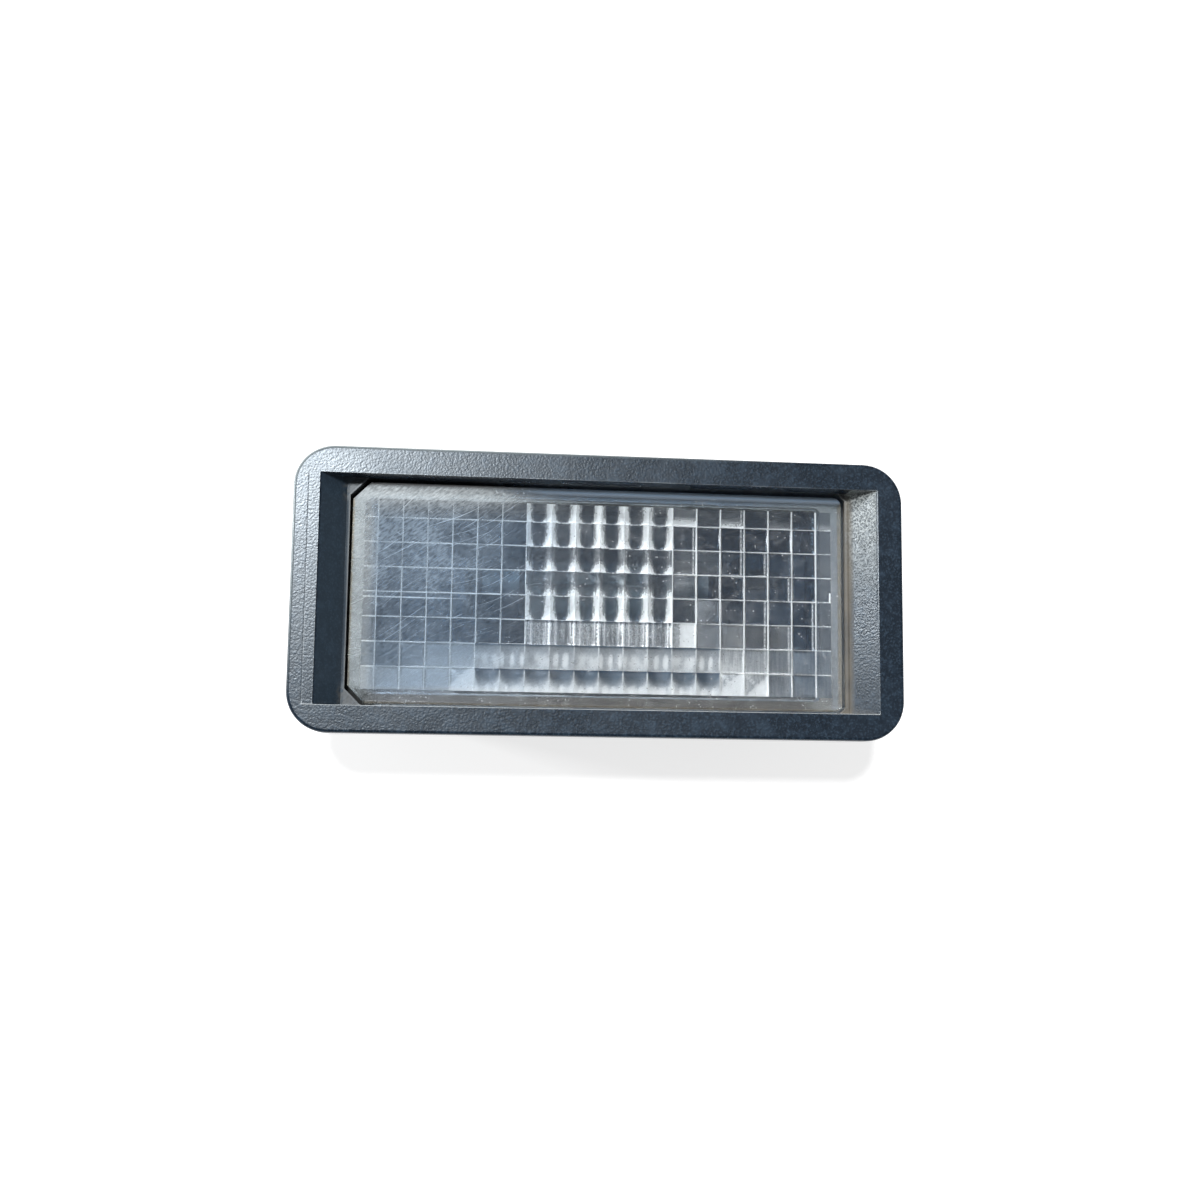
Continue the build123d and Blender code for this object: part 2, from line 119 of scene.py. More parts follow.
def add(tree, kind, *values, **named):
    """Adds a node of any kind: one named in full, a shader node or, in capitals, a Math operation.

    A part after a dot is the node's operation or mode. Values fill its inputs in order, and more
    than two values make a chain of sums, products or limits. A named value in small letters is a
    setting of the node, and one with a capital is the input of that name. A node stands for its
    first output, and a colour may be sRGB hex.
    """
    if kind.isupper():
        kind = "Math." + kind
    label, _, mode = kind.partition(".")
    if mode in CHAINED and len(values) > 2:
        values = (add(tree, kind, *values[:-1]), values[-1])
    made = tree.nodes.new(label if "Node" in label else "ShaderNode" + label)
    if mode:
        setattr(made, next(name for name in MODES if hasattr(made, name)), mode)
    for name, value in named.items():
        if name[0].islower():
            setattr(made, name, value)
    wanted = list(zip([socket for socket in made.inputs if socket.enabled], values))
    wanted += [
        (made.inputs[name.replace("_", " ")], value)
        for name, value in named.items()
        if not name[0].islower()
    ]
    for socket, value in wanted:
        if isinstance(value, bpy.types.Node):
            value = next(output for output in value.outputs if output.enabled)
        if isinstance(value, bpy.types.NodeSocket):
            tree.links.new(value, socket)
        else:
            hexed = isinstance(value, str) and value.startswith("#")
            socket.default_value = linear(value) if hexed else value
    return made


def material(name):
    """A new material and a function that adds nodes to its tree."""
    made = bpy.data.materials.new(name)
    made.use_nodes = True
    made.node_tree.nodes.clear()
    return made, partial(add, made.node_tree)


def finish(name):
    """A new material, its adder and the place on the part, in millimetres."""
    made, on = material(name)
    return made, on, on("VectorMath.SCALE", on("TexCoord").outputs["Object"], 1 / MM)


def dress(look, *names):
    """Gives CAD nodes a finish in place of their packed colour."""
    for name in names:
        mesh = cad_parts[name].data
        mesh.materials.clear()
        mesh.materials.append(look)


def grow(tree, name, inputs):
    """Runs a Geometry Nodes tree on an empty object and keeps the result as a plain mesh."""
    mesh = bpy.data.meshes.new(name)
    piece = bpy.data.objects.new(name, mesh)
    bpy.context.scene.collection.objects.link(piece)
    modifier = piece.modifiers.new(name, "NODES")
    modifier.node_group = tree
    for item in tree.interface.items_tree:
        if item.in_out == "INPUT":
            modifier[item.identifier] = inputs[item.name]
    evaluated = piece.evaluated_get(bpy.context.evaluated_depsgraph_get())
    piece.data = bpy.data.meshes.new_from_object(evaluated)
    piece.modifiers.clear()
    piece.data.name = name
    for index in reversed(range(len(piece.data.materials))):
        if piece.data.materials[index] is None:
            piece.data.materials.pop(index=index)
    if not piece.data.polygons:
        raise RuntimeError(f"{name} came out empty")
    return piece


def geometry_tree(name, inputs):
    """A Geometry Nodes tree with an input for each named value, its adder and its inputs."""
    tree = bpy.data.node_groups.new(name, "GeometryNodeTree")
    tree.interface.new_socket(name="Geometry", in_out="OUTPUT", socket_type="NodeSocketGeometry")
    for label, value in inputs.items():
        tree.interface.new_socket(name=label, in_out="INPUT", socket_type=SOCKETS[type(value)])
    on = partial(add, tree)
    return tree, on, on("NodeGroupInput").outputs


def carried(piece, slot, *nodes):
    """Lets a piece ride on the lamp and stand for CAD nodes. The slot is not used."""
    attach(piece, BODY)
    if nodes:
        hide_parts(*nodes)


def sized(name, description, size):
    """A length among the settings, given in millimetres."""
    return bpy.props.FloatProperty(
        name=name, description=description, default=size * MM, unit="LENGTH"
    )


class StageSettings(bpy.types.PropertyGroup):
    """Camera and light of the picture."""

    camera_place: bpy.props.FloatVectorProperty(
        name="Camera place",
        description="Where the camera stands",
        default=(-22.33 * MM, -26.11 * MM, 200.88 * MM),
        subtype="TRANSLATION",
        unit="LENGTH",
    )
    camera_aim: bpy.props.FloatVectorProperty(
        name="Camera aim",
        description="Point on the flange that the camera looks at",
        default=(-0.47 * MM, -0.81 * MM, 2.5 * MM),
        subtype="TRANSLATION",
        unit="LENGTH",
    )
    camera_roll: bpy.props.FloatProperty(
        name="Camera roll",
        description="Turn of the camera about its line of sight",
        default=math.radians(0.70),
        subtype="ANGLE",
        unit="ROTATION",
    )
    focal_length: bpy.props.FloatProperty(
        name="Focal length",
        description="Focal length on a 36 mm sensor, in millimetres",
        default=44.42,
    )
    sky_strength: bpy.props.FloatProperty(
        name="Sky strength",
        description="Strength of the even light from all round",
        default=0.22,
    )
    window_strength: bpy.props.FloatProperty(
        name="Window strength",
        description="Light from the window nearly overhead, which gives the flange its sheen",
        default=2.6,
    )
    side_power: bpy.props.FloatProperty(
        name="Side power",
        description="Power of the low lamp at the left, which lights the right end wall",
        default=1.35,
        unit="POWER",
    )


class LAMP_OT_stage(bpy.types.Operator):
    """Floor, camera and light."""

    bl_idname = "lamp.stage"
    bl_label = "Stage"

    def execute(self, context):
        settings = context.scene.lamp_stage
        scene = context.scene
        scene.view_settings.view_transform = "Standard"
        place, aim = Vector(settings.camera_place), Vector(settings.camera_aim)
        back = (place - aim).normalized()
        right = Vector((0, 1, 0)).cross(back).normalized()
        turn = Matrix((right, back.cross(right), back)).transposed()
        camera = bpy.data.objects.new("camera", bpy.data.cameras.new("camera"))
        camera.data.lens = settings.focal_length
        camera.data.clip_start = 10 * MM
        camera.matrix_world = (
            Matrix.Translation(place)
            @ turn.to_4x4()
            @ Matrix.Rotation(settings.camera_roll, 4, "Z")
        )
        scene.collection.objects.link(camera)
        scene.camera = camera

        span, level = FLOOR_SPAN, CAD_BOX[0][2]
        mesh = bpy.data.meshes.new("floor")
        corners = [(-span, -span), (span, -span), (span, span), (-span, span)]
        mesh.from_pydata([(x, y, level) for x, y in corners], [], [(0, 1, 2, 3)])
        floor = bpy.data.objects.new("floor", mesh)
        scene.collection.objects.link(floor)
        paper, on = material("white_paper")
        rays = on("LightPath")
        seen = on(
            "MAXIMUM",
            rays.outputs["Is Camera Ray"],
            rays.outputs["Is Glossy Ray"],
            rays.outputs["Is Transmission Ray"],
        )
        lit = on("BsdfDiffuse", "#e6e6e6")
        glow = on("Emission", (1, 1, 1, 1), PAPER_GLOW)
        bright = on("AddShader", lit, glow)
        paper_seen = on("MixShader", seen, lit, bright)
        # From below the floor is clear, so that the back can be looked at
        below = on("NewGeometry").outputs["Backfacing"]
        on("OutputMaterial", on("MixShader", below, paper_seen, on("BsdfTransparent")))
        mesh.materials.append(paper)

        world = bpy.data.worlds.new("sky")
        world.use_nodes = True
        world.node_tree.nodes.clear()
        on = partial(add, world.node_tree)
        rays = on("LightPath")
        strength = on("Mix", rays.outputs["Is Camera Ray"], settings.sky_strength, 1)
        glow = on("Background", (1, 1, 1, 1), strength)
        on("OutputWorld", glow)
        scene.world = world

        window = bpy.data.lights.new("window", "SUN")
        window.angle = math.radians(8)
        window.energy = settings.window_strength
        side = bpy.data.lights.new("side", "AREA")
        side.size = 60 * MM
        side.energy = settings.side_power
        for light, spot in ((window, WINDOW_PLACE), (side, SIDE_PLACE)):
            lamp = bpy.data.objects.new(light.name, light)
            lamp.location = spot
            lamp.rotation_euler = Vector(spot).to_track_quat("Z", "Y").to_euler()
            scene.collection.objects.link(lamp)
        return {"FINISHED"}


class HousingSettings(bpy.types.PropertyGroup):
    """Colours, corners and grain of the housing."""

    dark: bpy.props.StringProperty(
        name="Dark tone", description="Darker colour of the plastic, as sRGB hex", default="#081521"
    )
    pale: bpy.props.StringProperty(
        name="Pale tone", description="Paler colour of the plastic, as sRGB hex", default="#101f2f"
    )
    corner: sized("Corner", "Radius of the flange's corners", 5.5)
    grain: sized("Grain", "Width of one pebble of the moulded grain", 0.29)


def grained_polypropylene(settings):
    """Black polypropylene from a spark-eroded tool, weathered.

    To the eye: a blue-black satin whose fine pebbles glitter where light glances off, scuffed and
    rubbed pale on its sharp edges, with tan road dust left in the sunk opening.
    """
    made, on, place = finish("grained_black_polypropylene")
    x, y, z = on("SeparateXYZ", place).outputs
    grain = on("TexNoise", place, Scale=MM / settings.grain, Detail=1, Roughness=0.5)
    patches = on("TexNoise", place, Scale=1 / 7, Detail=4)
    scuffs = on("TexNoise", place, Scale=1 / 1.8, Detail=4, Roughness=0.65)
    scuffs = on("MapRange", scuffs, 0.48, 0.72, 0, 0.65)
    colour = on("Mix.RGBA", patches, settings.dark, settings.pale)
    colour = on("Mix.RGBA", scuffs, colour, "#2d3e4f")
    tops = on("MapRange", grain, 0.5, 0.7, 0, 0.5)
    colour = on("Mix.RGBA", tops, colour, "#3b4d5f")

    # Sharp edges are worn pale and carry a painted highlight, most of all along the lower edge of
    # the opening
    edge_normal = on("Bevel", 0.18 * MM, samples=6)
    straight = on("VectorMath.DOT_PRODUCT", edge_normal, on("NewGeometry").outputs["Normal"])
    rubbed_and_highlit = on("MapRange", straight.outputs["Value"], 0.99, 0.9)
    lower = on("MapRange", y, -15.2, -15.5, 0, 0.8)
    lower = on("MULTIPLY", lower, on("MapRange", y, -16, -16.2, 1, 0))
    rubbed_and_highlit = on("MULTIPLY", rubbed_and_highlit, on("ADD", lower, on("MapRange", patches, 0.4, 0.6, 0.08, 0.4)))
    colour = on("Mix.RGBA", rubbed_and_highlit, colour, "#d5dce0")
    # The flange's outer round is painted pale at the upper left as its highlight
    high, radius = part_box("housing")[1] / MM, settings.corner / MM
    inside = on("VectorMath.ABSOLUTE", on("CombineXYZ", x, y, 0))
    inside = on("VectorMath.SUBTRACT", inside, (high.x - radius, high.y - radius, 0))
    inside = on("VectorMath.LENGTH", on("VectorMath.MAXIMUM", inside, (0, 0, 0))).outputs["Value"]
    painted_round_highlight = on("MapRange", inside, radius - 0.5, radius - 0.15)
    painted_round_highlight = on("MULTIPLY", painted_round_highlight, on("MapRange", z, 1.5, 2))
    upper_left = on("MULTIPLY_ADD", x, -0.5, y)
    painted_round_highlight = on("MULTIPLY", painted_round_highlight, on("MapRange", upper_left, 5, 30, 0, 0.9))
    colour = on("Mix.RGBA", painted_round_highlight, colour, "#a3adb0")

    # Dust lies in the opening, more in corners and round the lens, and the left wall is painted
    # paler as skylight
    far_x = on("MapRange", on("ABSOLUTE", x), 38.45, 38.5, 1, 0)
    far_y = on("MapRange", on("ABSOLUTE", y), 15.66, 15.7, 1, 0)
    sunk = on(
        "MULTIPLY", far_x, far_y, on("GREATER_THAN", z, -3.8), on("MapRange", z, 2.2, 2.4, 1, 0)
    )
    # The paler bluish tone on the left wall is painted skylight
    film = on("MULTIPLY", sunk, on("MapRange", x, -34, -34.9, 0, 0.45))
    colour = on("Mix.RGBA", film, colour, "#3a4a57")
    right_wall = on("MULTIPLY", sunk, on("MapRange", x, 34.6, 34.9))
    # The right wall is painted paler above, in grain-sized flecks, as its sparkling highlight
    painted_wall_sparkle = on("MULTIPLY", right_wall, on("MapRange", y, 0, 13, 0, 0.5))
    colour = on(
        "Mix.RGBA",
        on("MULTIPLY", painted_wall_sparkle, on("MapRange", grain, 0.4, 0.62, 0.5, 1.9)),
        colour,
        "#b9c0c0",
    )
    corner = on("AmbientOcclusion", Distance=2.5 * MM, samples=8, only_local=True).outputs["AO"]
    dust = on("MapRange", corner, 0.75, 0.3, 0, 0.6)
    dust = on("MAXIMUM", dust, on("MapRange", z, -0.3, -0.9, 0, 0.85))
    dust = on(
        "MULTIPLY",
        dust,
        on("MapRange", z, -1.2, -1.5, 1, 0.15),
        on("MapRange", patches, 0.35, 0.65, 0.5, 1.1),
        on("MapRange", x, -32, -10, 0.4, 1),
        on("MapRange", y, 14.5, 15.3, 1, 0.35),
    )
    # The left wall runs clean up to the pocket's edge, and its two corners are mottled
    long_way = on("MapRange", on("ABSOLUTE", y), 12.2, 13.2)
    at_left = on("MULTIPLY", sunk, on("MapRange", x, -34.7, -34.76))
    lip = on("MULTIPLY", at_left, on("SUBTRACT", 1, long_way))
    mottled = on("TexNoise", place, Scale=1 / 0.7, Detail=3)
    mottled = on("MapRange", mottled, 0.4, 0.62, 0.05, 1)
    dust = on(
        "MULTIPLY",
        dust,
        on("Mix", on("MULTIPLY", at_left, long_way), 1, mottled),
        on("MULTIPLY_ADD", lip, -0.9, 1),
        sunk,
        use_clamp=True,
    )
    colour = on("Mix.RGBA", dust, colour, "#868075")
    rough = on("MapRange", patches, 0.3, 0.7, 0.25, 0.3)
    # The gap at the left end of the lens is painted dark as shade
    painted_gap_shade = on("MULTIPLY", sunk, on("MapRange", z, -1.2, -1.6), on("MapRange", x, -30, -31))
    colour = on("Mix.RGBA", painted_gap_shade, colour, "#191713")
    dull = on("MAXIMUM", dust, film, lip, painted_gap_shade)
    rough = on("Mix", dull, rough, 0.8)

    # A fine line beside the opening's left end is left by the mould insert
    line = on("ABSOLUTE", on("ADD", x, 39.9))
    line = on("MapRange", line, 0.02, 0.2, 1, 0)
    line = on("MULTIPLY", line, on("MapRange", on("ABSOLUTE", y), 15.2, 15.6, 1, 0))
    # The right wall kept its grain best above, and is worn smooth below
    coarse = on("MULTIPLY_ADD", right_wall, on("MapRange", y, -12, 12, -0.3, 3), 1)
    height = on("MULTIPLY_ADD", line, -0.5, on("MULTIPLY", grain, coarse))
    bump = on("Bump", 0.36, 0.05 * MM, Height=height)
    surface = on(
        "BsdfPrincipled",
        colour,
        Roughness=rough,
        Normal=bump,
        Specular_IOR_Level=0.5,
        Specular_Tint="#e8f3fb",
    )
    on("OutputMaterial", surface)
    return made


class LAMP_OT_housing(bpy.types.Operator):
    """Finish of the housing."""

    bl_idname = "lamp.housing"
    bl_label = "Housing"

    def execute(self, context):
        dress(grained_polypropylene(context.scene.lamp_housing), "housing")
        return {"FINISHED"}


class LensSettings(bpy.types.PropertyGroup):
    """Sizes of the lens and of its optic grid."""

    thickness: sized("Thickness", "Thickness of the plain rim", 2.18)
    chamfer: sized("Chamfer", "Cut of the left corners", 2.4)
    corner: sized("Corner", "Radius of the right corners", 1.1)
    edge_round: sized("Edge round", "Radius of the front edge", 0.4)
    columns: bpy.props.IntProperty(
        name="Columns", description="Cells of the optic grid along the lens", default=18
    )
    rows: bpy.props.IntProperty(
        name="Rows", description="Cells of the optic grid across the lens", default=8
    )
    field_length: sized("Field length", "Length of the optic grid", 61.6)
    field_width: sized("Field width", "Width of the optic grid", 26.4)
    left_run_on: sized(
        "Left run-on", "How far the lines between the rows run on beyond the grid at the left", 1.8
    )
    right_run_on: sized(
        "Right run-on",
        "How far the lines between the rows run on beyond the grid at the right",
        2.2,
    )
    top_cut: bpy.props.FloatProperty(
        name="Top cut", description="Share that the first row lacks", default=0.25
    )
    bottom_cut: bpy.props.FloatProperty(
        name="Bottom cut", description="Share that the last row lacks", default=0.08
    )


def optic_tree(inputs):
    """Geometry Nodes for the optic grid: its relief, and how frosted each spot of it looks, where
    highlights are painted too.
    """
    tree, on, given = geometry_tree("optic_grid", inputs)
    # One more column at each end is short and flat: only the lines between the rows run on there
    width = on("ADD", given["Columns"], 2)
    across = on("MULTIPLY_ADD", width, given["Steps"], 1)
    along = on("MULTIPLY_ADD", given["Rows"], given["Steps"], 1)
    grid = on("GeometryNodeMeshGrid", width, given["Rows"], across, along)
    grid_x, grid_y, _ = on("SeparateXYZ", on("GeometryNodeInputPosition")).outputs

    # Cell number, and place in the cell from 0 to 1, with more points near the cell's edges
    last_row = on("SUBTRACT", given["Rows"], 1)
    right = on("MULTIPLY_ADD", given["Columns"], 0.5, grid_x)
    down = on("SUBTRACT", on("MULTIPLY", given["Rows"], 0.5), grid_y)
    cells = []
    for run, last in ((right, given["Columns"]), (down, last_row)):
        number = on("FLOOR", on("ADD", run, 0.0001))
        number = on("MINIMUM", number, last)
        share = on("SUBTRACT", run, number)
        wave = on("SINE", on("MULTIPLY", share, 2 * math.pi))
        cells += [number, on("MULTIPLY_ADD", wave, -BUNCHING / (2 * math.pi), share)]
    column, u, row, v = cells
    left_end = on("LESS_THAN", column, -0.5)
    right_end = on("GREATER_THAN", column, on("SUBTRACT", given["Columns"], 0.5))
    lost_left = on("MULTIPLY", left_end, on("SUBTRACT", 1, given["Left share"]))
    lost_right = on("MULTIPLY", right_end, on("SUBTRACT", 1, given["Right share"]))
    kept = on("SUBTRACT", on("SUBTRACT", 1, lost_left), lost_right)
    u = on("MULTIPLY_ADD", u, kept, lost_left)

    # Place on the lens: the first and last rows are cut short
    first = on("LESS_THAN", row, 0.5)
    final = on("GREATER_THAN", row, on("SUBTRACT", last_row, 0.5))
    lost_first = on("MULTIPLY", first, given["Top cut"])
    lost_final = on("MULTIPLY", final, given["Bottom cut"])
    kept = on("SUBTRACT", on("SUBTRACT", 1, lost_first), lost_final)
    depth = on("MULTIPLY_ADD", v, kept, on("ADD", row, lost_first))
    depth = on("SUBTRACT", depth, given["Top cut"])
    fall = on("MULTIPLY", depth, given["Row pitch"])
    y = on("SUBTRACT", given["Top edge"], fall)
    from_middle = on("MULTIPLY_ADD", given["Columns"], -0.5, on("ADD", column, u))
    x = on("MULTIPLY", from_middle, given["Column pitch"])

    # Chance numbers of each cell
    cell = on("CombineXYZ", column, row, given["Seed"])
    chance = on("TexWhiteNoise", cell)
    lot_a, lot_b, lot_c = on("SeparateXYZ", chance.outputs["Color"]).outputs

    # Zones: pillows in the middle, wider in the two last rows
    wide = on("GREATER_THAN", row, MILKY_ROW - 0.5)
    half_zone = on("MULTIPLY_ADD", wide, 2, 3)
    middle = on("MULTIPLY_ADD", given["Columns"], -0.5, on("ADD", column, 0.5))
    zone = on("LESS_THAN", on("ABSOLUTE", middle), half_zone)
    fluted = on("MULTIPLY", zone, on("GREATER_THAN", row, FLUTED_ROW - 0.5))
    milky = on("MULTIPLY", zone, wide)
    sixth = on("COMPARE", row, FLUTED_ROW, 0.1)

    # Distances to the cell's edges, in metres, and to the edge of the grid
    u_mid = on("ABSOLUTE", on("SUBTRACT", u, 0.5))
    v_mid = on("ABSOLUTE", on("SUBTRACT", v, 0.5))
    side = on("MULTIPLY", u_mid, 2)
    edge_u = on("MULTIPLY", on("SUBTRACT", 0.5, u_mid), given["Column pitch"])
    edge_v = on("MULTIPLY", on("SUBTRACT", 0.5, v_mid), given["Row pitch"])
    edge = on("MINIMUM", edge_u, edge_v)
    inner_u = on("MINIMUM", right, on("SUBTRACT", given["Columns"], right))
    inner_v = on("MINIMUM", down, on("SUBTRACT", given["Rows"], down))
    inner = on("MapRange", on("MINIMUM", inner_u, inner_v), 0, 0.8)

    # Relief: prisms lean at random, pillows swell downwards, flutes stand five to a cell
    lean_u = on("MULTIPLY", on("SUBTRACT", lot_b, 0.5), on("SUBTRACT", u, 0.5))
    lean_v = on("MULTIPLY", on("SUBTRACT", lot_c, 0.5), on("SUBTRACT", v, 0.5))
    lit_side = on("MapRange.SMOOTHSTEP", x, -2 * MM, 9 * MM)
    lean_most = on("Mix", lit_side, 0.3, 0.9)
    lean = on("MULTIPLY_ADD", on("ADD", lean_u, lean_v), lean_most, 0.5)
    prism = on("MULTIPLY_ADD", lean, given["Facet rise"], given["Floor"])
    prism = on("MULTIPLY", prism, on("MapRange.SMOOTHSTEP", edge, 0, 0.25 * MM, 0.45, 1))
    barrel = on("SUBTRACT", 1, on("MULTIPLY", side, side))
    swell = on(
        "MULTIPLY",
        barrel,
        on("MapRange", v, 0, 0.9, 0.55, 1),
        on("MapRange.SMOOTHSTEP", v, 0.94, 1, 1, 0.75),
    )
    pillow = on("MULTIPLY_ADD", swell, given["Pillow sag"], given["Floor"])
    ripple = on("ABSOLUTE", on("SINE", on("MULTIPLY", u, FLUTES * math.pi)))
    ripple = on("MULTIPLY", ripple, on("SUBTRACT", 1, wide))
    flute = on("MULTIPLY_ADD", ripple, 0.45, on("MULTIPLY", swell, 0.55))
    flute = on("MULTIPLY_ADD", flute, given["Flute sag"], given["Floor"])
    relief = on("Mix", fluted, on("Mix", zone, prism, pillow), flute)
    relief = on("MULTIPLY", relief, inner)
    z = on("SUBTRACT", given["Back level"], relief)

    # Frost of the prisms, partly a painted highlight on their risers: thin risers at the left,
    # broad and often double ones at the right
    wide_u = on("Mix", lit_side, 0.085 * MM, 0.13 * MM)
    line_u = on("MapRange", edge_u, on("MULTIPLY", wide_u, 0.5), wide_u, 1, 0)
    power_u = on("MULTIPLY", on("Mix", lit_side, 0.45, 0.7), on("Mix", lot_a, 0.35, 1.2))
    line_u = on("MULTIPLY", line_u, power_u)
    line_v = on("MapRange", edge_v, 0.04 * MM, 0.11 * MM, 1, 0)
    line_v = on(
        "MULTIPLY",
        line_v,
        on("Mix", lot_b, 0.15, 0.6),
        on("Mix", u, 0.5, 1.1),
        on("Mix", lit_side, 1.4, 1),
        on("MapRange", inner_v, 0.1, 0.2),
    )
    second = on("SUBTRACT", on("MULTIPLY", on("SUBTRACT", 1, u), given["Column pitch"]), 0.52 * MM)
    second = on("MapRange", on("ABSOLUTE", second), 0.05 * MM, 0.13 * MM, 0.6, 0)
    second = on("MULTIPLY", second, lit_side, on("GREATER_THAN", lot_c, 0.6))
    lines = on("MAXIMUM", line_u, line_v, second)

    # Haze of single prisms: some at the right, more in the first row and low down near the pillows
    odd = on("PINGPONG", column, 1)
    beyond = on("SUBTRACT", on("ABSOLUTE", middle), half_zone)
    haze = on(
        "MULTIPLY",
        on("POWER", lot_a, 2),
        on("MapRange", row, 1, 5, 0.02, 0.14),
        on("MapRange", beyond, 0.5, 4, 1, 0.35),
        on("Mix", on("ABSOLUTE", on("SUBTRACT", u, lot_b)), 1.2, 0.3),
    )
    haze = on("ADD", haze, on("MULTIPLY", sixth, on("MapRange", beyond, 1, 5, 0.1, 0)))
    first_glow = on("Mix", odd, on("MapRange.SMOOTHSTEP", v, 0.4, 1, 0.08, 0.42), 0.03)
    first_glow = on("MULTIPLY", first_glow, on("MapRange", beyond, 1, 4, 1, 0.25))
    haze = on("MAXIMUM", haze, on("MULTIPLY", first_glow, first))
    haze = on("MULTIPLY", haze, lit_side)
    foot = on("MapRange", beyond, 0.5, 3, 0.19, 0.04)
    foot = on("MULTIPLY", foot, on("Mix", lit_side, 0.9, 1.2), on("Mix", v, 0.6, 1.2))
    haze = on("MAXIMUM", haze, on("MULTIPLY", foot, wide))
    left_foot = on("MULTIPLY", final, on("Mix", lit_side, 0.16, 0))
    haze = on("MAXIMUM", haze, left_foot)
    end_glow = on("MULTIPLY_ADD", left_end, 0.06, on("MULTIPLY", right_end, 0.04))
    haze = on("MAXIMUM", haze, end_glow)
    # One cell of the sixth row is painted bright as a glint
    glint = on(
        "MULTIPLY",
        on("COMPARE", column, BRIGHT_COLUMN, 0.1),
        sixth,
        on("MapRange", u, 0.25, 0.45, 0.08, 0.45),
    )
    # Cells beside the last row's arches are painted bright in triangles, a highlight on their
    # facets
    cut = on("MULTIPLY", final, on("LESS_THAN", beyond, on("MULTIPLY_ADD", lit_side, 1, 1)))
    slant = on("SUBTRACT", on("ADD", u, v), on("MULTIPLY_ADD", lot_b, 0.4, 0.8))
    triangle = on("MapRange", slant, -0.04, 0.04, 0.17, 0.4)
    crease = on("MapRange", on("ABSOLUTE", on("SUBTRACT", u, v)), 0.03, 0.09, 0.2, 0)
    triangle = on("MULTIPLY", on("ADD", triangle, crease), cut)
    prism_frost_and_highlight = on("MAXIMUM", lines, haze, glint, triangle)

    # Pillow flanks carry a painted shine in streaks that flare and brighten towards each row's
    # foot, least before the bulb
    skew = on("MULTIPLY_ADD", on("SUBTRACT", u, 0.5), 0.16, side)
    start = on("Mix", on("POWER", v, 6), 0.37, 0.14)
    painted_flank_shine = on("MapRange.SMOOTHSTEP", skew, start, on("ADD", start, 0.65))
    before_bulb = on("ABSOLUTE", on("SUBTRACT", row, 2.6))
    least = on("MapRange", before_bulb, 0.5, 1.5, 0.1, 0.6)
    most = on("MapRange", before_bulb, 0.35, 0.7, 0.35, 0.95)
    painted_flank_shine = on("MULTIPLY", painted_flank_shine, on("MapRange.SMOOTHSTEP", v, 0.5, 1, least, most))
    seam = on("MapRange", on("ABSOLUTE", on("SUBTRACT", edge_u, 0.16 * MM)), 0, 0.12 * MM, 0.75, 1)
    painted_flank_shine = on("MULTIPLY", painted_flank_shine, seam)
    pillow_frost_and_highlight = on("MAXIMUM", painted_flank_shine, on("MULTIPLY", line_v, 0.6), on("Mix", lot_a, 0.01, 0.035))

    # The sixth row is fluted: milky and striped cells in turn, with a painted shine at the seams
    seams = on("MapRange.SMOOTHSTEP", skew, 0.6, 1, 0, 0.26)
    flute_frost_and_highlight = on("MAXIMUM", seams, on("Mix", odd, 0.135, 0.1))
    streaked = on("MULTIPLY_ADD", fluted, on("MULTIPLY_ADD", odd, 0.85, -0.75), 0.9)
    streaked = on("MULTIPLY", streaked, on("SUBTRACT", zone, milky))
    bottom_prism = on("MULTIPLY", on("SUBTRACT", wide, milky), lit_side)
    streaked = on("MULTIPLY_ADD", bottom_prism, 0.6, streaked)

    # The two last rows are milky: the seventh all over, the eighth below a soft arch
    drops = on(
        "TexNoise", on("CombineXYZ", x, on("MULTIPLY", y, 0.35), 0), Scale=1 / (0.9 * MM), Detail=0
    )
    drops = on("MapRange", drops, 0.25, 0.75, -0.08, 0.12)
    lifted = on("MapRange.SMOOTHSTEP", on("ABSOLUTE", on("SUBTRACT", v, 0.62)), 0, 0.4, 1, 0)
    # Seventh row: two or three painted upright glints in every other cell, a painted milky gleam in
    # the rest
    wave = on("SINE", on("MULTIPLY", on("MULTIPLY_ADD", lot_b, 0.3, u), FLUTES * math.pi))
    glints = on("MapRange.SMOOTHSTEP", on("MULTIPLY_ADD", barrel, 0.4, wave), 0.2, 1.3, 0, 0.3)
    gleam = on("Mix", odd, on("MULTIPLY_ADD", drops, 1.1, 0.03), glints)
    fog_and_glints = on("MULTIPLY", gleam, lifted)
    fog_and_glints = on("ADD", fog_and_glints, on("MapRange", v, 0, 0.5, 0.08, on("Mix", odd, 0.2, 0.17)))
    # Eighth row: dark above, painted pale at the foot and at the seams, with painted glints at the
    # foot
    arch = on("ADD", on("MULTIPLY", on("POWER", side, 4), 0.35), v)
    shine = on("MapRange.SMOOTHSTEP", arch, 0.3, 1.05)
    arch = on("MULTIPLY", shine, on("MULTIPLY_ADD", drops, 0.7, 0.26))
    arch = on("ADD", arch, on("Mix", lot_a, 0, 0.03))
    glints = on("MapRange.SMOOTHSTEP", wave, 0.2, 1, 0, 0.35)
    glints = on("MULTIPLY", glints, on("MapRange.SMOOTHSTEP", v, 0.6, 0.95))
    arch = on("ADD", arch, glints)
    fog_and_glints = on("Mix", final, fog_and_glints, arch)
    seams = on("MULTIPLY", line_u, on("MapRange", v, 0.2, 0.8, 0.7, 0.2))
    fog_and_glints = on("MAXIMUM", fog_and_glints, seams)

    frost = on("Mix", zone, prism_frost_and_highlight, pillow_frost_and_highlight)
    frost = on("Mix", fluted, frost, flute_frost_and_highlight)
    frost = on("Mix", milky, frost, fog_and_glints)
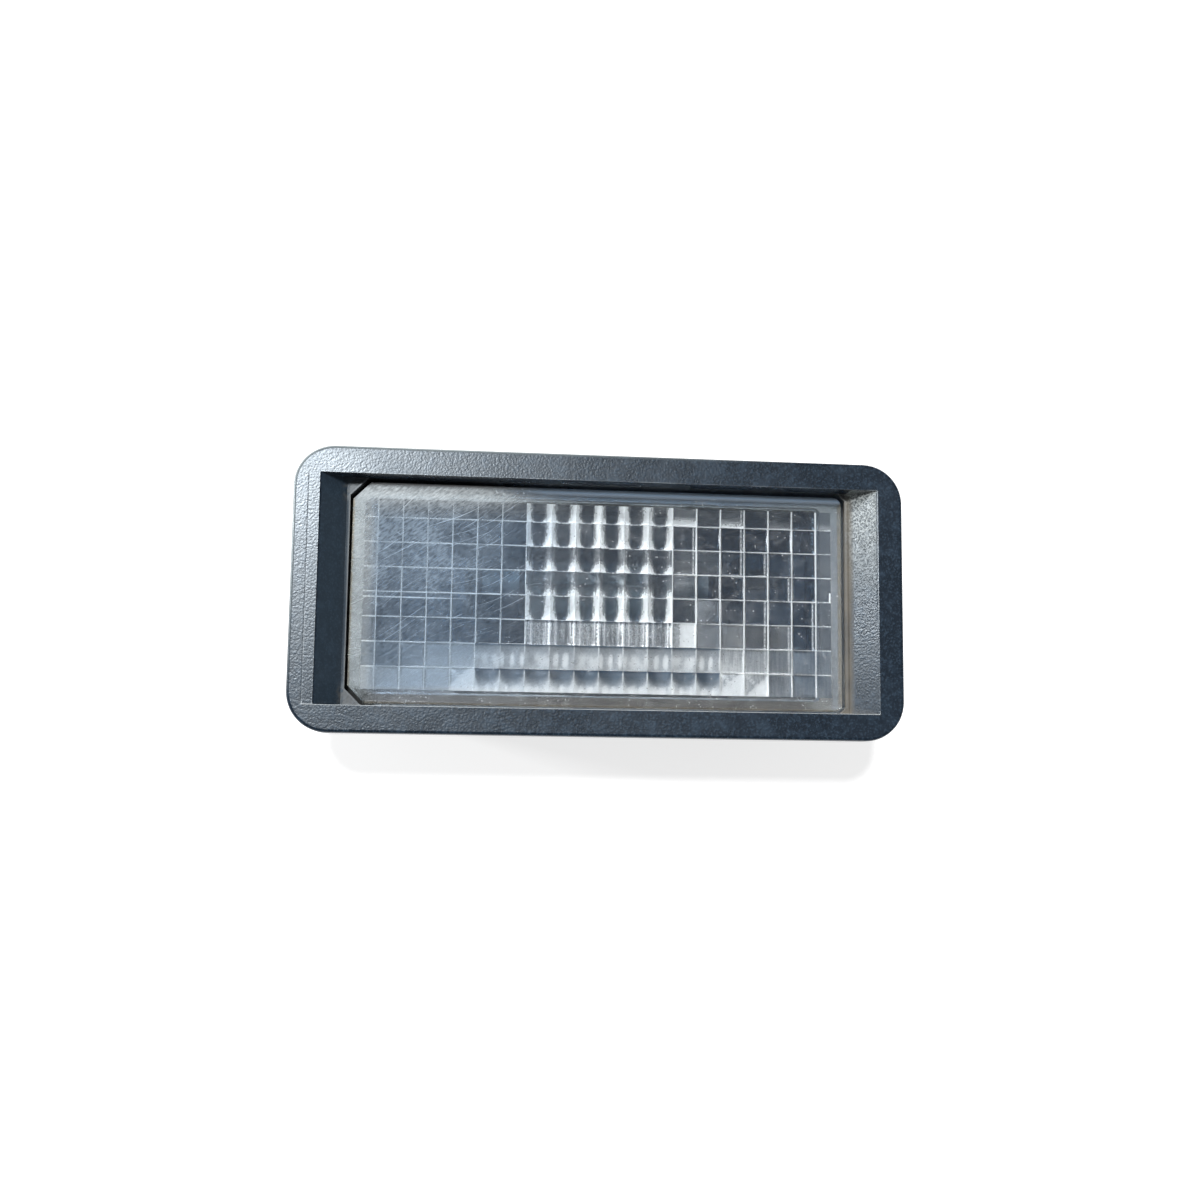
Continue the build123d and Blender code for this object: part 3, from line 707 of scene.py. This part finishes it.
    # A dark line of painted shade runs along the top of each of the three last rows
    painted_shade_line = on("MapRange", v, 0.04, 0.11, 0.12, 1)
    frost = on("MULTIPLY", frost, on("Mix", fluted, 1, painted_shade_line))
    frost = on("Clamp", on("MULTIPLY", frost, on("MapRange", inner_v, 0, 0.05)))

    shape = grid
    for name, value in (("frost", frost), ("streaked", streaked), ("dull", wide)):
        shape = on("GeometryNodeStoreNamedAttribute", shape, True, name, value)
    shape = on("GeometryNodeSetPosition", shape, True, on("CombineXYZ", x, y, z))
    shape = on("GeometryNodeFlipFaces", shape)
    shape = on("GeometryNodeRealizeInstances", shape)
    shape = on("GeometryNodeSetMaterial", shape, True, given["Finish"])
    on("NodeGroupOutput", shape)
    return tree


def see_through(on, surface, tint):
    """Ends a clear material: lamps reach what lies behind it, as through real glass."""
    rays = on("LightPath")
    way = on("BsdfTransparent", tint)
    on("OutputMaterial", on("MixShader", rays.outputs["Is Shadow Ray"], surface, way))


def moulded_acrylic():
    """Clear acrylic, moulded in the optic grid.

    To the eye: clear cells with a blue-grey depth that is painted shade of the lamp's inside, and
    pale frosted risers, flanks and flutes that carry painted highlights.
    """
    made, on, place = finish("moulded_clear_acrylic")
    frost = on("Attribute", attribute_name="frost").outputs["Fac"]
    stipple = on("TexNoise", place, Scale=1 / 0.28, Detail=1)
    drawn = on("Mapping", place, Scale=(1, 0.1, 1))
    streaks = on("TexNoise", drawn, Scale=1 / 0.3, Detail=1)
    streaks = on("MapRange", streaks, 0.35, 0.65, -0.4, 0.4)
    streaked = on("Attribute", attribute_name="streaked").outputs["Fac"]
    frost = on("MULTIPLY", frost, on("MULTIPLY_ADD", streaks, streaked, 1))
    # Steps left by the mould: a second line below the middle at the left end,
    # and a tick above it at the right end
    x, y, _ = on("SeparateXYZ", place).outputs
    line = on("MapRange", on("ABSOLUTE", on("ADD", y, 0.45)), 0.03, 0.12, 0.5, 0)
    line = on("MULTIPLY", line, on("MapRange", x, -24, -18, 1, 0))
    tick = on("MapRange", on("ABSOLUTE", on("SUBTRACT", x, 32.85)), 0.04, 0.15, 0.8, 0)
    tick = on(
        "MULTIPLY", tick, on("MapRange", on("ABSOLUTE", on("SUBTRACT", y, 0.95)), 0.6, 0.75, 1, 0)
    )
    frost = on("MAXIMUM", frost, line, tick)
    # The two last rows are smoother and duller
    dull = on("Attribute", attribute_name="dull").outputs["Fac"]
    stipple = on("MULTIPLY", on("SUBTRACT", stipple, 0.5), on("Mix", dull, 1, 0.7))
    frost = on("MULTIPLY", frost, on("ADD", stipple, 1), use_clamp=True)
    pale = on("MapRange", frost, 0, 0.25)
    # Clear cells take a dark blue-grey, painted shade of the lamp's inside
    colour = on("Mix.RGBA", pale, "#2c435c", "#f8fbfc")
    clear = on("Mix", frost, 0.8, 0)
    rough = on("MapRange", frost, 0, 0.5, 0.1, 0.5)
    rough = on("MAXIMUM", rough, on("MULTIPLY", dull, 0.4))
    surface = on(
        "BsdfPrincipled",
        colour,
        Roughness=rough,
        IOR=1.49,
        Specular_IOR_Level=0.06,
        Specular_Tint="#a3b8cc",
        Transmission_Weight=clear,
    )
    see_through(on, surface, "#fafcfd")
    return made


def scratched_acrylic():
    """Clear acrylic, moulded smooth and scoured by road dirt, most of all at the left.

    To the eye: a bluish haze of fine crossing scratches at the left that clears to the right,
    stronger towards the top as a painted sheen.
    """
    made, on, place = finish("scratched_clear_acrylic")
    x, y, _ = on("SeparateXYZ", place).outputs
    wear_and_sheen = on("MapRange.SMOOTHSTEP", x, -30, 1, 1, 0.08)
    clouds = on("TexNoise", place, Scale=1 / 5, Detail=4, Roughness=0.6)
    clouds = on("MapRange", clouds, 0.3, 0.7, 0.65, 1.35)
    scoured = on(
        "Mapping", place, Rotation=(0, 0, 0.62), Scale=(0.8, 0.25, 1), vector_type="TEXTURE"
    )
    grit = on("TexNoise", scoured, Scale=1, Detail=2)
    grit = on("MapRange", grit, 0.3, 0.7, 0.5, 1.5)
    haze = on("MULTIPLY", clouds, grit, 0.24)
    # Scratches are drawn 0.15 mm wide, several times coarser than they are, so that they show
    bent = on("TexNoise", place, Scale=1 / 12, Detail=0).outputs["Color"]
    bent = on("VectorMath.MULTIPLY_ADD", bent, (5, 5, 0), place)
    for turn, length, least in ((0.62, 7.0, 0.69), (-0.5, 3.0, 0.71), (0.4, 16.0, 0.66)):
        turned = on(
            "Mapping", bent, Rotation=(0, 0, turn), Scale=(length, 0.15, 1), vector_type="TEXTURE"
        )
        streak = on("TexNoise", turned, Scale=1, Detail=1)
        streak = on("MapRange", streak, least, least + 0.1, 0, 0.5)
        haze = on("ADD", haze, streak)
    # The scour is made stronger towards the top as a painted sheen, and weaker at the bottom
    wear_and_sheen = on(
        "MULTIPLY",
        wear_and_sheen,
        on("MapRange", y, -15, 13, 0.5, 1.45),
        on("MapRange", y, -14, -12.5, 0.3, 1),
    )
    haze = on("MULTIPLY", haze, wear_and_sheen, use_clamp=True)
    flecks = on("TexNoise", place, Scale=1 / 0.3, Detail=0)
    flecks = on("MapRange", flecks, 0.73, 0.79, 0, 0.35)
    smudges = on("TexNoise", place, Scale=1 / 3, Detail=5, Roughness=0.65, Distortion=1.5)
    flecks = on("MULTIPLY", flecks, on("MapRange", smudges, 0.42, 0.58))
    haze = on("MAXIMUM", haze, flecks)
    haze = on("ADD", haze, on("MapRange", smudges, 0.5, 0.75, 0, 0.1))
    # The haze's blue tint is a painted reflection of the sky
    colour = on("Mix.RGBA", on("MapRange", wear_and_sheen, 0, 0.5), "#fbfdfe", "#c2d8ee")
    # The plain rim is greyer, and white at the upper left from wear and a painted sheen
    rim_x = on("MapRange", x, -30.5, -32)
    upper_rim_wear_and_sheen = on("MapRange", y, 9.8, 13.4)
    colour = on("Mix.RGBA", on("MAXIMUM", rim_x, upper_rim_wear_and_sheen), colour, "#dce4e8")
    # Where the top wall shades the rim, a pale bluish haze is painted in as skylight
    shaded = on("MULTIPLY", on("MapRange", y, 14, 14.6), on("MapRange", x, -16, -8))
    colour = on("Mix.RGBA", shaded, colour, "#a9c3de")
    haze = on("MAXIMUM", haze, on("MULTIPLY", shaded, 0.42))
    upper_rim_wear_and_sheen = on("MULTIPLY", upper_rim_wear_and_sheen, on("MapRange", x, -18, -7, 0.58, 0), clouds, grit)
    haze = on("MAXIMUM", haze, upper_rim_wear_and_sheen)
    # Dirt has dried along the edge of the lens, in crumbs at the upper left
    edge_x = on("MapRange", on("ABSOLUTE", x), 33.85, 34.15)
    edge_y = on("MapRange", on("ABSOLUTE", y), 14.8, 15.1)
    dirt = on("MULTIPLY", on("MAXIMUM", edge_x, edge_y), grit, 0.22, on("SUBTRACT", 1, shaded))
    crumbs = on("MapRange", on("TexNoise", place, Scale=1 / 0.6, Detail=1), 0.6, 0.68, 0, 0.8)
    crumbs = on("MULTIPLY", crumbs, on("MapRange", y, 13.4, 14.4), on("MapRange", x, -12, -6, 1, 0))
    colour = on("Mix.RGBA", on("MapRange", dirt, 0, 0.2), colour, "#c3b9a5")
    haze = on("MAXIMUM", haze, dirt, crumbs)
    # The upper edge is worn white and carries a painted highlight, least at the right
    rubbed_and_highlit = on("MapRange", y, 14.7, 14.9)
    rubbed_and_highlit = on("MULTIPLY", rubbed_and_highlit, on("MapRange", x, -18, -8, 1, 0.4))
    colour = on("Mix.RGBA", rubbed_and_highlit, colour, "#f6f9fa")
    haze = on("MAXIMUM", haze, rubbed_and_highlit)
    surface = on(
        "BsdfPrincipled",
        colour,
        Roughness=0.04,
        IOR=1.49,
        Transmission_Weight=on("SUBTRACT", 1, haze),
    )
    see_through(on, surface, "#f8fafb")
    return made


def lens_outline(settings):
    """Corners of the lens seen from its front, anticlockwise: two cut ones and two round ones."""
    low, high = LENS_LOW, LENS_HIGH
    cut, radius = settings.chamfer, settings.corner
    points = [(low.x, high.y - cut), (low.x, low.y + cut), (low.x + cut, low.y)]
    for centre_y, start in ((low.y + radius, -90), (high.y - radius, 0)):
        for step in range(CORNER_STEPS + 1):
            angle = math.radians(start + step * 90 / CORNER_STEPS)
            points.append(
                (high.x - radius + radius * math.cos(angle), centre_y + radius * math.sin(angle))
            )
    points.append((low.x + cut, high.y))
    return [Vector(point) for point in points]


def moved_in(points, distance):
    """A convex outline moved inwards by a distance."""
    moved = []
    for index, point in enumerate(points):
        before = (point - points[index - 1]).normalized()
        after = (points[(index + 1) % len(points)] - point).normalized()
        normal = Vector((-before.y, before.x)) + Vector((-after.y, after.x))
        normal.normalize()
        moved.append(point + normal * distance / normal.dot(Vector((-after.y, after.x))))
    return moved


class LAMP_OT_lens(bpy.types.Operator):
    """The lens with its optic grid, in place of the plain one."""

    bl_idname = "lamp.lens"
    bl_label = "Lens"

    def execute(self, context):
        settings = context.scene.lamp_lens
        front = LENS_HIGH.z
        back = front - settings.thickness
        rows = settings.rows - settings.top_cut - settings.bottom_cut
        pitch = settings.field_length / settings.columns
        inputs = {
            "Columns": settings.columns,
            "Rows": settings.rows,
            "Steps": CELL_STEPS,
            "Column pitch": pitch,
            "Left share": settings.left_run_on / pitch,
            "Right share": settings.right_run_on / pitch,
            "Row pitch": settings.field_width / rows,
            "Top cut": settings.top_cut,
            "Bottom cut": settings.bottom_cut,
            "Top edge": settings.field_width / 2,
            "Back level": back,
            "Floor": 0.12 * MM,
            "Facet rise": 0.4 * MM,
            "Pillow sag": 0.8 * MM,
            "Flute sag": 0.6 * MM,
            "Seed": 5.0,
            "Finish": moulded_acrylic(),
        }
        piece = grow(optic_tree(inputs), "lens_fine", inputs)
        piece.data.materials.append(scratched_acrylic())
        if len(piece.data.materials) != 2:
            raise RuntimeError("the lens has a wrong number of finishes")
        shape = bmesh.new()
        shape.from_mesh(piece.data)
        rim_inside = [edge for edge in shape.edges if edge.is_boundary]
        outline = lens_outline(settings)
        rings = [(outline, back)]
        for step in range(EDGE_STEPS + 1):
            angle = math.radians(step * 90 / EDGE_STEPS)
            inset = settings.edge_round * (1 - math.cos(angle))
            level = front - settings.edge_round * (1 - math.sin(angle))
            rings.append((moved_in(outline, inset), level))
        loops = [[shape.verts.new((*point, level)) for point in points] for points, level in rings]
        made = [shape.faces.new(loops[-1])]
        for lower, upper in zip(loops, loops[1:]):
            for index in range(len(lower)):
                made.append(
                    shape.faces.new(
                        (lower[index - 1], lower[index], upper[index], upper[index - 1])
                    )
                )
        rim_outside = [
            edge for edge in shape.edges if edge.is_boundary and edge not in set(rim_inside)
        ]
        filled = bmesh.ops.triangle_fill(shape, edges=rim_inside + rim_outside, use_beauty=True)
        made += [part for part in filled["geom"] if isinstance(part, bmesh.types.BMFace)]
        for face in made:
            face.material_index = 1
        bmesh.ops.recalc_face_normals(shape, faces=shape.faces)
        if any(not edge.is_manifold for edge in shape.edges):
            raise RuntimeError("the lens isn't closed")
        for face in shape.faces:
            face.smooth = True
        for edge in shape.edges:
            edge.smooth = edge.calc_face_angle() < SHARP_ANGLE
        for edge in made[0].edges:
            edge.smooth = False
        shape.to_mesh(piece.data)
        shape.free()
        carried(piece, "lens_clear", "lens")
        return {"FINISHED"}


def worked_metal(name, dull, bright, rough, drawn, bump):
    """A metal with the fine lines of its rolling or drawing, in two tones.

    The lines are as long and wide as drawn gives in millimetres, coarser than real ones, so that
    they show.
    """
    made, on, place = finish(name)
    stretched = on("Mapping", place, Scale=tuple(1 / size for size in drawn))
    lines = on("TexNoise", stretched, Scale=1, Detail=3)
    stains = on("TexNoise", place, Scale=1 / 2.5, Detail=3)
    tone = on("MULTIPLY_ADD", stains, 0.6, on("MULTIPLY", lines, 0.4))
    tone = on("MapRange", tone, 0.35, 0.65)
    surface = on(
        "BsdfPrincipled",
        on("Mix.RGBA", tone, dull, bright),
        Metallic=1.0,
        Roughness=on("Mix", tone, rough + 0.12, rough),
        Normal=on("Bump", bump, 0.02 * MM, Height=lines),
    )
    on("OutputMaterial", surface)
    return made


def flat_normal(on):
    """The normal of a CAD node, made even on faces square to the lamp, which look round."""
    geometry = on("NewGeometry")
    square = on("VectorMath.ABSOLUTE", geometry.outputs["True Normal"])
    x, y, z = on("SeparateXYZ", square).outputs
    square = on("MAXIMUM", x, y, z)
    square = on("GREATER_THAN", square, 0.9999)
    return on("Mix.VECTOR", square, geometry.outputs["Normal"], geometry.outputs["True Normal"])


def moulded_black(name, dark, pale, rough, speck, pins=()):
    """A black moulding with mottling and shallow dimples as wide as speck gives, in millimetres.

    Round marks of ejector pins stand at the given places along and across the lamp.
    """
    made, on, place = finish(name)
    specks = on("TexNoise", place, Scale=1 / speck, Detail=2)
    flow = on("TexNoise", place, Scale=1 / 9, Detail=3, Distortion=1)
    tone = on("MULTIPLY_ADD", flow, 0.7, on("MULTIPLY", specks, 0.3))
    tone = on("MapRange", tone, 0.35, 0.65)
    edge_normal = on("Bevel", 0.15 * MM, samples=4)
    straight = on("VectorMath.DOT_PRODUCT", edge_normal, on("NewGeometry").outputs["Normal"])
    worn = on("MapRange", straight.outputs["Value"], 0.99, 0.9, 0, 0.5)
    colour = on("Mix.RGBA", tone, dark, pale)
    height = specks
    x, y, _ = on("SeparateXYZ", place).outputs
    flat = on("CombineXYZ", x, y, 0)
    for pin in pins:
        distance = on("VectorMath.DISTANCE", flat, (*pin, 0)).outputs["Value"]
        ring = on("MapRange", on("ABSOLUTE", on("SUBTRACT", distance, PIN_RADIUS)), 0, 0.2, 1, 0)
        height = on("MULTIPLY_ADD", ring, -1.5, height)
        worn = on("MAXIMUM", worn, on("MULTIPLY", ring, 0.35))
    surface = on(
        "BsdfPrincipled",
        on("Mix.RGBA", worn, colour, "#565d63"),
        Roughness=on("Mix", tone, rough, rough + 0.12),
        Normal=on("Bump", 0.35, 0.03 * MM, Height=height, Normal=flat_normal(on)),
    )
    on("OutputMaterial", surface)
    return made


def blown_glass():
    """Soda glass, blown clear, with the faint grey film that a filament leaves.

    To the eye: clear and glossy, smoked a little towards its upper side.
    """
    made, on, place = finish("blown_soda_glass")
    film = on("TexNoise", place, Scale=1 / 5, Detail=2)
    film = on("MULTIPLY", film, on("MapRange", on("SeparateXYZ", place).outputs["Z"], -14, -7))
    colour = on("Mix.RGBA", film, "#f3f6f5", "#b9bdbd")
    surface = on("BsdfPrincipled", colour, Roughness=0.03, IOR=1.5, Transmission_Weight=1)
    see_through(on, surface, "#f0f3f2")
    return made


def set_sealant():
    """Grey sealing adhesive, set from a bead and aged under the lens rim.

    To the eye: a matt grey band, painted a bluish shade along the top, darker at the right edge,
    with brown streaks below.
    """
    made, on, place = finish("grey_sealing_adhesive")
    x, y, _ = on("SeparateXYZ", place).outputs
    drawn = on("Mapping", place, Scale=(0.15, 1, 1))
    streaks = on("TexNoise", drawn, Scale=1 / 0.5, Detail=3)
    clouds = on("TexNoise", place, Scale=1 / 3, Detail=3)
    colour = on("Mix.RGBA", on("MapRange", clouds, 0.3, 0.7), "#4e5051", "#636566")
    below = on("MapRange", y, -12.6, -13.4)
    brown = on("Mix.RGBA", on("MapRange", streaks, 0.4, 0.6), "#0b0a0a", "#211f1c")
    colour = on("Mix.RGBA", below, colour, brown)
    # The dark bluish tone along the top is painted shade under the housing's top wall
    painted_top_shade = on("MapRange", y, 13.1, 13.5)
    painted_top_shade = on("MULTIPLY", painted_top_shade, on("MapRange", x, -16, -10), on("MapRange", x, 19, 27, 1, 0.3))
    outside = on("MapRange", x, 32.9, 33.3)
    colour = on("Mix.RGBA", painted_top_shade, colour, "#3d4d5f")
    colour = on("Mix.RGBA", outside, colour, "#263240")
    inside = on("MapRange", x, 29, 31)
    colour = on("Mix.RGBA", on("MULTIPLY", inside, 0.5), colour, "#585a59")
    surface = on(
        "BsdfPrincipled", colour, Roughness=0.7, Normal=on("Bump", 0.4, 0.1 * MM, Height=streaks)
    )
    on("OutputMaterial", surface)
    return made


class LAMP_OT_inside(bpy.types.Operator):
    """Finishes of the reflector, seals, contacts, rear cover and spring."""

    bl_idname = "lamp.inside"
    bl_label = "Inside"

    def execute(self, context):
        dress(set_sealant(), "lens_seal")
        # Glass-filled nylon, moulded: a dull black with paler flow marks
        dress(
            moulded_black(
                "moulded_black_nylon", "#121518", "#22272b", rough=0.45, speck=0.3, pins=PIN_PLACES
            ),
            "bulb_carrier",
        )
        # Silicone rubber, moulded: a soft even black that hardly shines
        dress(
            moulded_black("moulded_black_silicone", "#0c0d0e", "#1a1b1c", rough=0.68, speck=0.5),
            "carrier_seal",
        )
        # Aluminium sheet, rolled and folded: dulled grey, kept dark as painted shade of the lamp's
        # inside, with fine lines along its length
        dress(
            worked_metal(
                "rolled_aluminium_sheet",
                "#474c50",
                "#6a6f73",
                rough=0.6,
                drawn=(14, 0.25, 0.25),
                bump=0.3,
            ),
            "reflector",
        )
        # Tinned bronze strip, stamped: a warm grey, kept dark as painted shade of the lamp's inside
        dress(
            worked_metal(
                "tinned_bronze_strip",
                "#2c2721",
                "#4b453c",
                rough=0.62,
                drawn=(0.25, 3, 3),
                bump=0.3,
            ),
            "contact_left",
            "contact_right",
        )
        # Spring steel, rolled: a cool grey with fine lines along the leaf
        dress(
            worked_metal(
                "rolled_spring_steel",
                "#7b8084",
                "#999ea2",
                rough=0.34,
                drawn=(0.15, 0.15, 8),
                bump=0.3,
            ),
            "retaining_spring",
        )
        return {"FINISHED"}


class BulbSettings(bpy.types.PropertyGroup):
    """Sizes of the bulb's coil."""

    turns: bpy.props.FloatProperty(
        name="Turns", description="Turns of the filament's coil", default=42.0
    )
    wire: sized("Wire", "Radius of the filament's wire", 0.06)


def coil_tree(inputs):
    """Geometry Nodes for a wire coiled along X from its place."""
    tree, on, given = geometry_tree("filament_coil", inputs)
    path = on(
        "GeometryNodeCurveSpiral",
        TURN_STEPS,
        given["Turns"],
        given["Radius"],
        given["Radius"],
        given["Length"],
    )
    section = on("GeometryNodeCurvePrimitiveCircle", Resolution=WIRE_SIDES, Radius=given["Wire"])
    shape = on("GeometryNodeCurveToMesh", path, section, Fill_Caps=True)
    turned = on(
        "GeometryNodeTransform", shape, Translation=given["Place"], Rotation=(0, math.pi / 2, 0)
    )
    shape = on("GeometryNodeSetShadeSmooth", turned)
    shape = on("GeometryNodeRealizeInstances", shape)
    shape = on("GeometryNodeSetMaterial", shape, True, given["Finish"])
    on("NodeGroupOutput", shape)
    return tree


class LAMP_OT_bulb(bpy.types.Operator):
    """Finishes of the bulb, and its coiled filament in place of the plain rod."""

    bl_idname = "lamp.bulb"
    bl_label = "Bulb"

    def execute(self, context):
        settings = context.scene.lamp_bulb
        dress(blown_glass(), "bulb_glass")
        # Nickel plate on brass caps: a dull warm grey, clouded by heat
        dress(
            worked_metal(
                "dulled_nickel_plate", "#5d564d", "#968e84", rough=0.5, drawn=(0.3, 2, 2), bump=0.2
            ),
            "bulb_cap_left",
            "bulb_cap_right",
        )
        # Nickel-iron wire, drawn: grey
        dress(
            worked_metal(
                "drawn_lead_wire", "#77736c", "#a19d96", rough=0.35, drawn=(2, 0.1, 0.1), bump=0.2
            ),
            "bulb_lead_left",
            "bulb_lead_right",
        )
        middle = (ROD_LOW + ROD_HIGH) / 2
        inputs = {
            "Length": ROD_HIGH.x - ROD_LOW.x,
            "Radius": (ROD_HIGH.y - ROD_LOW.y) / 2 - settings.wire,
            "Wire": settings.wire,
            "Turns": settings.turns,
            "Place": (ROD_LOW.x, middle.y, middle.z),
            # Tungsten wire, drawn and burnt in: a dark grey
            "Finish": worked_metal(
                "drawn_tungsten_wire",
                "#3d3c3b",
                "#6b6966",
                rough=0.42,
                drawn=(0.1, 0.4, 0.4),
                bump=0.2,
            ),
        }
        coil = grow(coil_tree(inputs), "filament_coil", inputs)
        carried(coil, "filament_wire", "bulb_filament")
        return {"FINISHED"}


STEPS = (LAMP_OT_stage, LAMP_OT_housing, LAMP_OT_lens, LAMP_OT_bulb, LAMP_OT_inside)


class LAMP_PT_panel(bpy.types.Panel):
    """Lists the steps that dress the lamp."""

    bl_label = "Number plate lamp"
    bl_idname = "LAMP_PT_panel"
    bl_space_type = "VIEW_3D"
    bl_region_type = "UI"
    bl_category = "Lamp"

    def draw(self, context):
        for step in STEPS:
            self.layout.operator(step.bl_idname)


SETTINGS = {
    "lamp_stage": StageSettings,
    "lamp_housing": HousingSettings,
    "lamp_lens": LensSettings,
    "lamp_bulb": BulbSettings,
}


def register():
    for each in (*SETTINGS.values(), *STEPS, LAMP_PT_panel):
        bpy.utils.register_class(each)
    for name, group in SETTINGS.items():
        setattr(bpy.types.Scene, name, bpy.props.PointerProperty(type=group))


def unregister():
    for name in SETTINGS:
        delattr(bpy.types.Scene, name)
    for each in (LAMP_PT_panel, *reversed(STEPS), *SETTINGS.values()):
        bpy.utils.unregister_class(each)


def main():
    register()
    bpy.ops.lamp.stage()
    bpy.ops.lamp.housing()
    bpy.ops.lamp.lens()
    bpy.ops.lamp.bulb()
    bpy.ops.lamp.inside()


if __name__ == "__main__":
    main()
